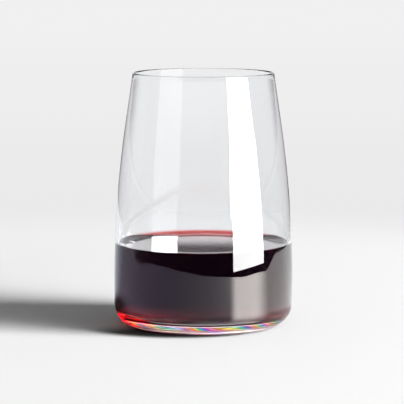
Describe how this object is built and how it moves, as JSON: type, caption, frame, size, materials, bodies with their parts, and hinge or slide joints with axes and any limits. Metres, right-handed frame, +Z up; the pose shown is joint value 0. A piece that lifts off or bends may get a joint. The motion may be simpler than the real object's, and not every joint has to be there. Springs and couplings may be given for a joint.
{
  "type": "stemless wine glass",
  "caption": "Stemless wine glass: tall bowl, widest low down, with a straight tapered mouth, rounded heel and thick base, part filled with red wine.",
  "frame": {"origin": "centre of the standing ring, in the plane of the surface that the glass stands on", "axes": "+Z up along the glass's axis, towards the mouth; +X and +Y level, and alike because the glass is round"},
  "size_m": [0.088, 0.088, 0.124],
  "materials": {
    "clear_glass": "fire-polished, clear",
    "red_wine": "liquid, clear in thin layers and almost black in depth"
  },
  "bodies": {
    "glass": {"tumbler": "clear_glass"},
    "wine": {"wine": "red_wine"}
  },
  "joints": [
    {"name": "wine_swirl", "type": "hinge", "parent": "glass", "child": "wine", "pos_m": [0, 0, 0.022], "axis": [0, 0, 1], "continuous": true}
  ]
}
